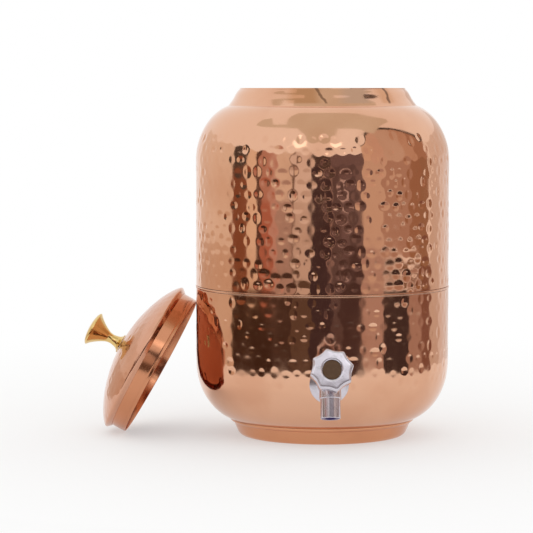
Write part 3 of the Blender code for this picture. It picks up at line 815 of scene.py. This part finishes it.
def tap_bores():
    """Tools for the way through: shank, valve chamber with its seat, and spout."""
    step = SPOUT_LENGTH - 6.5 * MM
    outlet = [(0.0, 3 * MM), (SPOUT_BORE, 3 * MM), (SPOUT_BORE, step), (SPOUT_OPENING, step),
              (SPOUT_OPENING, SPOUT_LENGTH + 1 * MM), (0.0, SPOUT_LENGTH + 1 * MM)]
    chamber = [(0.0, -4.2 * MM), (4 * MM, -4.2 * MM), (4 * MM, SEAT_HEIGHT), (CHAMBER_RADIUS, SEAT_HEIGHT),
               (CHAMBER_RADIUS, CHAMBER_MOUTH + 1 * MM), (0.0, CHAMBER_MOUTH + 1 * MM)]
    shank = rod(SHANK_BORE, SHANK_INNER_END - 1 * MM, TAP_CENTRE - 2 * MM)
    return [
        tap_casting("chamber_bore", upwards(chamber), VALVE_FRAME, BORE_COLUMNS),
        tap_casting("spout_bore", upwards(outlet), SPOUT_FRAME, BORE_COLUMNS),
        tap_casting("shank_bore", upwards(shank), SHANK_FRAME, BORE_COLUMNS),
    ]


def make_tap_body():
    """One casting: threaded shank, wall flange, valve chamber and spout, bored right through."""
    chamber = cup(3 * MM, (CHAMBER_OUTER, 8 * MM), CHAMBER_MOUTH, 20)
    belly = cup(1 * MM, (BELLY_RADIUS, 7.5 * MM), BELLY_TOP, 16)
    belly_frame = VALVE_FRAME @ Matrix.Translation((0, -BELLY_DROP, 0))
    body = tap_casting("tap_body_cast", chamber, VALVE_FRAME)
    combine(body, [tap_shank(), tap_casting("belly", belly, belly_frame), tap_spout()], "UNION")
    combine(body, tap_bores(), "DIFFERENCE")
    attach(body, "pot", "chrome_plate", "tap_body")


def make_front_gasket():
    """Soft washer between the flange and the wall, shaped to the wall."""
    back = 100 * MM
    ring = rounded([
        (WALL_HOLE, back),
        (GASKET_RADIUS, back),
        (GASKET_RADIUS, GASKET_FACE, 0.5 * MM),
        (WALL_HOLE, GASKET_FACE),
    ])
    gasket = revolve("front_gasket_soft", upwards(ring), TAP_COLUMNS, black_rubber, SHANK_FRAME)
    centre = (POT_RADIUS - BOWL_RADII[0], BOWL_HEIGHT)
    wall = [(POT_RADIUS, 100 * MM)] + superellipse(centre, BOWL_RADII, BOWL_POWER, 0, -60, 40)
    wall = [(radius + 0.3 * MM, height) for radius, height in wall]
    form = [(0.0, wall[0][1])] + wall + [(0.0, wall[-1][1])]
    combine(gasket, [revolve("wall_form", form, RING_COLUMNS, black_rubber)], "DIFFERENCE")
    attach(gasket, "pot", "black_rubber", "front_gasket")


def make_spout_insert():
    """Blue plastic ring pressed into the spout's end, with rounded edges."""
    low = SPOUT_LENGTH - 6.2 * MM
    ring = rounded([
        (INSERT_BORE, low),
        (INSERT_RADIUS, low),
        (INSERT_RADIUS, SPOUT_LENGTH, 0.3 * MM),
        (INSERT_BORE, SPOUT_LENGTH, 0.4 * MM),
    ])
    piece = revolve("spout_insert_moulded", upwards(ring), TAP_COLUMNS, blue_plastic, SPOUT_FRAME)
    attach(piece, "pot", "blue_plastic", "spout_insert")


def make_clamp():
    """Metal washer and hexagonal lock nut on the shank, inside the pot."""
    bore = SHANK_RADIUS + 0.3 * MM
    rim = 12.5 * MM
    washer_high = REAR_GASKET_FACE - 0.3 * MM
    washer_low = washer_high - 1.2 * MM
    ring = rounded([(bore, washer_low), (rim, washer_low, 0.3 * MM), (rim, washer_high, 0.3 * MM),
                    (bore, washer_high)])
    washer = revolve("clamp_washer_flat", upwards(ring), TAP_COLUMNS, plain_brass, SHANK_FRAME)
    attach(washer, "pot", "plain_brass", "clamp_washer")
    corner = 13.9 * MM
    nut_high = washer_low - 0.3 * MM
    nut_low = nut_high - 7 * MM
    outline = [(bore, nut_low + 0.4 * MM), (bore + 0.5 * MM, nut_low), (corner - 1.6 * MM, nut_low),
               (corner, nut_low + 0.9 * MM), (corner, nut_high - 0.1 * MM), (corner - 0.2 * MM, nut_high),
               (bore, nut_high)]
    nut = revolve("lock_nut_hexagonal", upwards(outline), TAP_COLUMNS, plain_brass, SHANK_FRAME,
                  hexagon(corner - 1.2 * MM))
    attach(nut, "pot", "plain_brass", "lock_nut")


def make_bonnet():
    """Bonnet with a hexagonal collar."""
    outline = in_mm((4.8, 10.2), (7.7, 10.2), (7.7, 16.6), (10.9, 16.6), (10.9, 17.2), (11.5, 17.2),
                    (11.5, 21), (10.9, 21.6), (6.8, 21.6), (6.8, 26.5), (6.5, 26.8), (5.3, 26.8),
                    (5.3, 23.2), (3.3, 23.2), (3.3, 15.6), (4.8, 15.6))
    bonnet = revolve("bonnet_turned", upwards(outline), TAP_COLUMNS, chrome_plate, VALVE_FRAME,
                     hexagon(11.2 * MM))
    attach(bonnet, "pot", "chrome_plate", "bonnet")


def make_gland_nut():
    """Hexagonal nut on the end of the bonnet."""
    outline = in_mm((3.3, 25.5), (5, 25.5), (5, 27.1), (6.9, 27.1), (6.9, 29.4), (6.4, 29.9), (3.3, 29.9))
    nut = revolve("gland_nut_hexagonal", upwards(outline), TAP_COLUMNS, chrome_plate, VALVE_FRAME,
                  hexagon(6 * MM))
    attach(nut, "pot", "chrome_plate", "gland_nut")


def flutes(verts):
    """A shape that draws concave flutes into the handle's rim, with softened tips between them."""
    radius = np.hypot(verts[..., 0], verts[..., 1])
    angle = np.arctan2(verts[..., 1], verts[..., 0]) - HANDLE_TURN
    wave = np.sqrt(np.sin(HANDLE_LOBES * angle / 2) ** 2 + TIP_SOFTNESS ** 2) - TIP_SOFTNESS
    strength = np.clip((radius - HUB_RADIUS) / (4 * MM), 0, 1)
    verts[..., :2] *= (1 - FLUTE_DEPTH * wave * strength)[..., None]
    return verts


def make_handle():
    """Lobed handle with a hollow underside and a recess in its face for the cap."""
    outline = rounded(in_mm(
        (9.5, 27.8, 0.3), (16.4, 27.8, 0.6), (17.9, 29.6, 1.0), (17.9, 37.4, 1.2), (16.4, 39.2, 1.4),
        (9.1, 39.4, 0.5), (8.1, 38.8, 0.3), (8.1, 37), (6.8, 37), (6.8, 34.6), (3.3, 34.6), (3.3, 31.2),
        (9.5, 31.2)), 6)
    handle = revolve("handle_lobed", upwards(dense(outline, 1.5 * MM)), HANDLE_COLUMNS, satin_chrome,
                     VALVE_FRAME, flutes)
    attach(handle, "handle_set", "chrome_plate", "handle")


def make_handle_cap():
    """Brown plastic disc pressed into the handle's face."""
    outline = rounded(in_mm((0, 37.3), (7.7, 37.3, 0.3), (7.85, 38.5, 0.5), (5, 38.75, 1), (0, 38.75)))
    cap = revolve("handle_cap_moulded", upwards(outline), SMALL_COLUMNS, brown_plastic, VALVE_FRAME)
    attach(cap, "handle_set", "brown_plastic", "handle_cap")


# CAD nodes whose shape is already right

def finish_nodes():
    """Give the hidden pieces that stay as CAD nodes their materials."""
    finishes = {
        black_rubber: ("rear_gasket", "bonnet_gasket", "gland_packing", "jumper_washer"),
        plain_brass: ("knob_washer", "knob_screw", "valve_jumper", "spindle", "handle_screw"),
    }
    for material, nodes in finishes.items():
        for node in nodes:
            frame["nodes"][node].material_slots[0].material = material


# The studio

def mirrored(wall_angle, distance, height):
    """The point at a distance from the pot's axis that an angle on its wall mirrors.

    The angle is in degrees from the view.
    """
    turn = radians(wall_angle)
    angle = 2 * turn - asin(POT_RADIUS * sin(turn) / distance) + VIEW_TURN
    return distance * sin(angle), -distance * cos(angle), height


def angles_between(left, right):
    """Angles on the wall from one to another, about one card step apart."""
    return np.linspace(left, right, max(1, round((right - left) / CARD_STEP)) + 1)


def curved_card(name, left, right, low, high, colour, distance=CARD_DISTANCE):
    """A card standing on an arc round the pot.

    Its sides are the angles on the pot's wall, in degrees from the view, that mirror them.
    Its ends are heights, or functions that give the height at an angle on the wall.
    """
    glowing(name, [[mirrored(angle, distance, end(angle) if callable(end) else end) for end in (low, high)]
                   for angle in angles_between(left, right)], colour)


def floor_card(name, left, right, colour):
    """A card lying on the floor in front of the standing ones."""
    glowing(name, [[mirrored(angle, distance, FLOOR_CARD_HEIGHT)
                    for distance in (FLOOR_CARD_NEAR, CARD_DISTANCE)]
                   for angle in angles_between(left, right)], colour)


def arch(angle):
    """Height of the arch's edge at an angle on the wall."""
    return float(np.interp(angle, ARCH_ANGLES, ARCH_HEIGHTS))


def arch_top(angle):
    """Height of the top of the dark line along the arch."""
    return arch(angle) * (1 + ARCH_LINE)


def above_shoulder(around, slope, height):
    """The point at a height above the shoulder that a point of the shoulder mirrors.

    The shoulder's point is at an angle from the view, and slopes back from upright there.
    """
    across = sin(around) / sin(slope) * cos(slope)
    back = (1 - 2 * (cos(slope) * cos(around)) ** 2) / (sin(2 * slope) * cos(around))
    return height * across, height * back - SHOULDER_RING, SHOULDER_HEIGHT + height


def overhead_card(name, edges, height, colour):
    """A card overhead, cut to the part of the shoulder that mirrors it.

    Each edge is an angle on the shoulder from the view, then the lowest and highest
    slopes back from upright there, all in degrees.
    """
    glowing(name, [[above_shoulder(radians(around), radians(slope), height) for slope in slopes]
                   for around, *slopes in edges], colour)


def glowing(name, pairs, colour):
    """A glowing strip through pairs of points, which only reflections show."""
    mesh = bpy.data.meshes.new(name)
    faces = [(2 * i, 2 * i + 2, 2 * i + 3, 2 * i + 1) for i in range(len(pairs) - 1)]
    mesh.from_pydata([point for pair in pairs for point in pair], [], faces)
    material = bpy.data.materials.new(name)
    material.use_nodes = True
    tree = material.node_tree
    tree.nodes.clear()
    emission = tree.nodes.new("ShaderNodeEmission")
    emission.inputs["Color"].default_value = (*colour, 1.0)
    output = tree.nodes.new("ShaderNodeOutputMaterial")
    tree.links.new(emission.outputs["Emission"], output.inputs["Surface"])
    mesh.materials.append(material)
    card = bpy.data.objects.new(name, mesh)
    bpy.context.scene.collection.objects.link(card)
    card.visible_camera = False
    card.visible_diffuse = False
    card.visible_shadow = False


# Colours of the room
DARKEST = (0.065, 0.042, 0.047)
DARK_RED = (0.062, 0.042, 0.042)
DARK_BROWN = (0.058, 0.031, 0.020)
DARK_PURPLE = (0.13, 0.095, 0.10)
DIM = (0.19, 0.14, 0.15)
UMBER = (0.09, 0.075, 0.065)
LEFT_LINE = (0.12, 0.065, 0.052)
MIDDLE_LINE = (0.20, 0.14, 0.12)
SAND = (0.86, 0.73, 0.60)
CREAM = (0.86, 0.80, 0.73)
RED = (0.54, 0.31, 0.25)
ROSE = (0.60, 0.39, 0.35)
PALE_ROSE = (0.80, 0.71, 0.63)
PALE_GREY = (0.80, 0.74, 0.72)
RIGHT_LOW = (0.45, 0.32, 0.28)
RIGHT_EDGE = (0.25, 0.13, 0.10)
GREY = (0.74, 0.73, 0.65)

# Near cards: left and right sides in degrees on the wall, lower and upper ends, colour
NEAR_CARDS = (
    (-72.0, -44.4, 0.0, 0.13, (0.72, 0.60, 0.50)),
    (-72.0, -44.4, 0.13, NEAR_TOP, CREAM),
    (-44.4, -35.6, 0.21, NEAR_TOP, UMBER),
    (-44.4, -35.6, LOW_TOP, 0.21, (0.27, 0.112, 0.062)),
    (-35.6, -30.7, LOW_TOP, NEAR_TOP, SAND),
    (-30.7, -28.2, LOW_TOP, NEAR_TOP, LEFT_LINE),
    (-28.2, -23.5, 0.18, NEAR_TOP, RED),
    (-28.2, -23.5, LOW_TOP, 0.18, (0.48, 0.195, 0.135)),
    (-23.5, -20.8, LOW_TOP, NEAR_TOP, ROSE),
    (-20.8, -13.6, 0.19, NEAR_TOP, PALE_ROSE),
    (-20.8, -13.6, LOW_TOP, 0.19, (0.47, 0.36, 0.33)),
    (-13.6, -12.4, LOW_TOP, NEAR_TOP, MIDDLE_LINE),
    (-12.4, -5.0, 0.19, MIDDLE_TOP, PALE_GREY),
    (-12.4, -5.0, LOW_TOP, 0.19, (0.64, 0.56, 0.52)),
    (-44.4, -23.5, 0.0, LOW_TOP, DARK_BROWN),
    (-23.5, -13.6, 0.0, LOW_TOP, (0.075, 0.045, 0.035)),
    (-13.6, -5.0, 0.0, LOW_TOP, (0.13, 0.088, 0.067)),
    (-5.0, -1.5, 0.205, MIDDLE_TOP, DARKEST),
    (-1.5, 2.3, 0.205, 0.221, (0.62, 0.50, 0.47)),
    (-1.5, 2.3, 0.221, MIDDLE_TOP, DARKEST),
    (-5.0, 3.2, 0.0, 0.205, DARKEST),
    (2.3, 3.2, 0.205, MIDDLE_TOP, DARKEST),
    (3.2, 4.2, 0.08, MIDDLE_TOP, (0.36, 0.27, 0.26)),
    (3.2, 4.2, 0.0, 0.08, DARKEST),
    (4.2, 8.0, 0.0, MIDDLE_TOP, DARK_PURPLE),
    (8.0, 18.2, 0.0, 0.12, (0.08, 0.05, 0.05)),
    (8.0, 12.0, 0.12, 0.182, DIM),
    (8.0, 12.0, 0.182, 0.207, (0.58, 0.50, 0.52)),
    (8.0, 12.0, 0.207, MIDDLE_TOP, (0.15, 0.11, 0.12)),
    (12.0, 15.0, 0.12, MIDDLE_TOP, DARK_PURPLE),
    (15.0, 18.2, 0.12, MIDDLE_TOP, (0.21, 0.155, 0.16)),
    (18.2, 28.5, 0.0, 0.12, (0.50, 0.37, 0.34)),
    (18.2, 28.5, 0.12, NEAR_TOP, (0.67, 0.54, 0.46)),
    (28.5, 42.5, 0.0, 0.092, DARK_RED),
    (28.5, 50.5, 0.100, 0.112, (0.22, 0.11, 0.06)),
    (28.5, 42.5, 0.125, NEAR_TOP, (0.49, 0.34, 0.28)),
    (42.5, 50.5, 0.0, 0.095, RIGHT_LOW),
    (42.5, 49.5, 0.125, NEAR_TOP, (0.38, 0.22, 0.145)),
    (49.5, 55.5, 0.112, NEAR_TOP, (0.36, 0.22, 0.145)),
    (50.5, 57.5, 0.0, 0.112, RIGHT_EDGE),
    (57.5, 66.0, 0.0, NEAR_TOP, (0.70, 0.62, 0.57)),
    (66.0, 84.0, 0.0, NEAR_TOP, (0.84, 0.81, 0.80)),
)

# Far cards: left and right sides, upper end, colour
FAR_CARDS = (
    (-72.0, -44.4, FAR_TOP, CREAM),
    (-44.4, -35.6, FAR_TOP, UMBER),
    (-35.6, -30.7, FAR_TOP, SAND),
    (-30.7, -28.2, FAR_TOP, LEFT_LINE),
    (-28.2, -23.5, FAR_TOP, RED),
    (-23.5, -20.8, FAR_TOP, ROSE),
    (-20.8, -13.6, FAR_TOP, PALE_ROSE),
    (-13.6, -12.4, FAR_TOP, MIDDLE_LINE),
    (-12.4, -5.0, FAR_TOP, PALE_GREY),
    (-5.0, 4.0, FAR_MIDDLE_TOP, (0.10, 0.075, 0.07)),
    (4.0, 18.2, FAR_MIDDLE_TOP, DIM),
    (18.2, 22.0, arch, (0.75, 0.60, 0.50)),
    (22.0, 28.5, arch, (0.70, 0.54, 0.47)),
    (28.5, 40.0, arch, (0.66, 0.54, 0.47)),
    (40.0, 47.0, arch, (0.60, 0.43, 0.34)),
    (47.0, 55.5, arch, (0.45, 0.28, 0.20)),
    (57.5, 84.0, FAR_TOP, (0.80, 0.74, 0.70)),
)

# Floor cards: left and right sides, colour
FLOOR_CARDS = (
    (-44.4, -13.6, DARK_BROWN),
    (-13.6, -5.0, (0.10, 0.065, 0.05)),
    (-5.0, 18.2, DARKEST),
    (28.5, 42.5, DARK_RED),
    (42.5, 50.5, RIGHT_LOW),
    (50.5, 57.5, RIGHT_EDGE),
)

# Edges of the card overhead, from left to right
OVERHEAD_EDGES = (
    (-35.5, 32.5, 34.5),
    (-32.5, 31.0, 40.0),
    (-28.0, 30.5, 42.0),
    (-26.5, 30.5, 33.5),
    (-19.5, 30.5, 34.0),
    (-18.5, 30.0, 43.0),
    (-13.5, 30.0, 50.5),
    (-11.0, 25.0, 51.0),
    (-7.5, 18.5, 51.0),
    (-4.0, 17.5, 51.0),
    (4.5, 21.5, 51.0),
    (6.5, 29.5, 51.0),
    (17.5, 28.5, 49.5),
    (20.0, 25.5, 49.0),
    (24.0, 24.0, 45.5),
    (28.5, 31.0, 42.5),
    (34.5, 35.5, 39.0),
)


def make_cards():
    """The room that the polished copper reflects, as cards round the pot, before it and over it."""
    for index, (left, right, colour) in enumerate(FLOOR_CARDS):
        floor_card(f"floor_card_{index}", left, right, colour)
    for index, (left, right, low, high, colour) in enumerate(NEAR_CARDS):
        curved_card(f"near_card_{index}", left, right, low, high, colour)
    for index, (left, right, high, colour) in enumerate(FAR_CARDS):
        curved_card(f"far_card_{index}", left, right, FAR_LOW, high, colour, FAR_DISTANCE)
    curved_card("arch_line", ARCH_ANGLES[0], ARCH_ANGLES[-1], arch, arch_top, UMBER, FAR_DISTANCE)
    overhead_card("overhead_card", OVERHEAD_EDGES, OVERHEAD_HEIGHT, GREY)


def make_floor():
    """A wide pale floor that fades into the white background."""
    mesh = bpy.data.meshes.new("floor")
    corners = [(-1, -1), (1, -1), (1, 1), (-1, 1)]
    mesh.from_pydata([(FLOOR_HALF * x, FLOOR_HALF * y, 0) for x, y in corners], [], [(0, 1, 2, 3)])
    nodes = Nodes("floor")
    distance = nodes.add("ShaderNodeVectorMath", {0: nodes.object}, operation="LENGTH").outputs["Value"]
    fade = nodes.spread(distance, *FLOOR_FADE, FLOOR_GLOW, 1.0)
    glow = nodes.add("ShaderNodeEmission").outputs["Emission"]
    shader = nodes.shader.outputs["BSDF"]
    mix = nodes.add("ShaderNodeMixShader", {0: fade, 1: shader, 2: glow}).outputs["Shader"]
    nodes.set(nodes.tree.nodes["Material Output"].inputs["Surface"], mix)
    mesh.materials.append(nodes.surface(base_color=FLOOR_COLOUR, roughness=0.9))
    floor = bpy.data.objects.new("floor", mesh)
    bpy.context.scene.collection.objects.link(floor)


def make_light(name, place, size, power):
    """A soft square light that faces the pot."""
    light = bpy.data.lights.new(name, "AREA")
    light.size = size
    light.energy = power
    obj = bpy.data.objects.new(name, light)
    obj.location = place
    obj.rotation_euler = (Vector(LIGHT_TARGET) - Vector(place)).to_track_quat("-Z", "Y").to_euler()
    bpy.context.scene.collection.objects.link(obj)


def make_world():
    """White all round."""
    world = bpy.data.worlds.new("studio")
    world.use_nodes = True
    background = world.node_tree.nodes["Background"]
    background.inputs["Color"].default_value = (1.0, 1.0, 1.0, 1.0)
    background.inputs["Strength"].default_value = 1.0
    bpy.context.scene.world = world


def make_camera():
    """The camera, level with the pot's mouth and looking slightly down."""
    camera = bpy.data.cameras.new("camera")
    camera.lens = CAMERA_LENS
    camera.clip_end = 100.0
    obj = bpy.data.objects.new("camera", camera)
    obj.location = CAMERA_PLACE
    obj.rotation_euler = CAMERA_TURN
    bpy.context.scene.collection.objects.link(obj)
    bpy.context.scene.camera = obj


make_upper_shell()
make_lower_shell()
make_brazed_seam()
make_foot()
make_lid_dome()
make_lid_skirt()
make_lid_knob()
make_tap_body()
make_front_gasket()
make_spout_insert()
make_clamp()
make_bonnet()
make_gland_nut()
make_handle()
make_handle_cap()
finish_nodes()

make_cards()
make_floor()
make_light("key", (-0.7, -1.5, 1.15), size=0.4, power=0.4)
make_light("fill", (0.3, -1.7, 1.15), size=0.3, power=0.25)
make_world()
make_camera()
bpy.context.scene.view_settings.view_transform = "Standard"
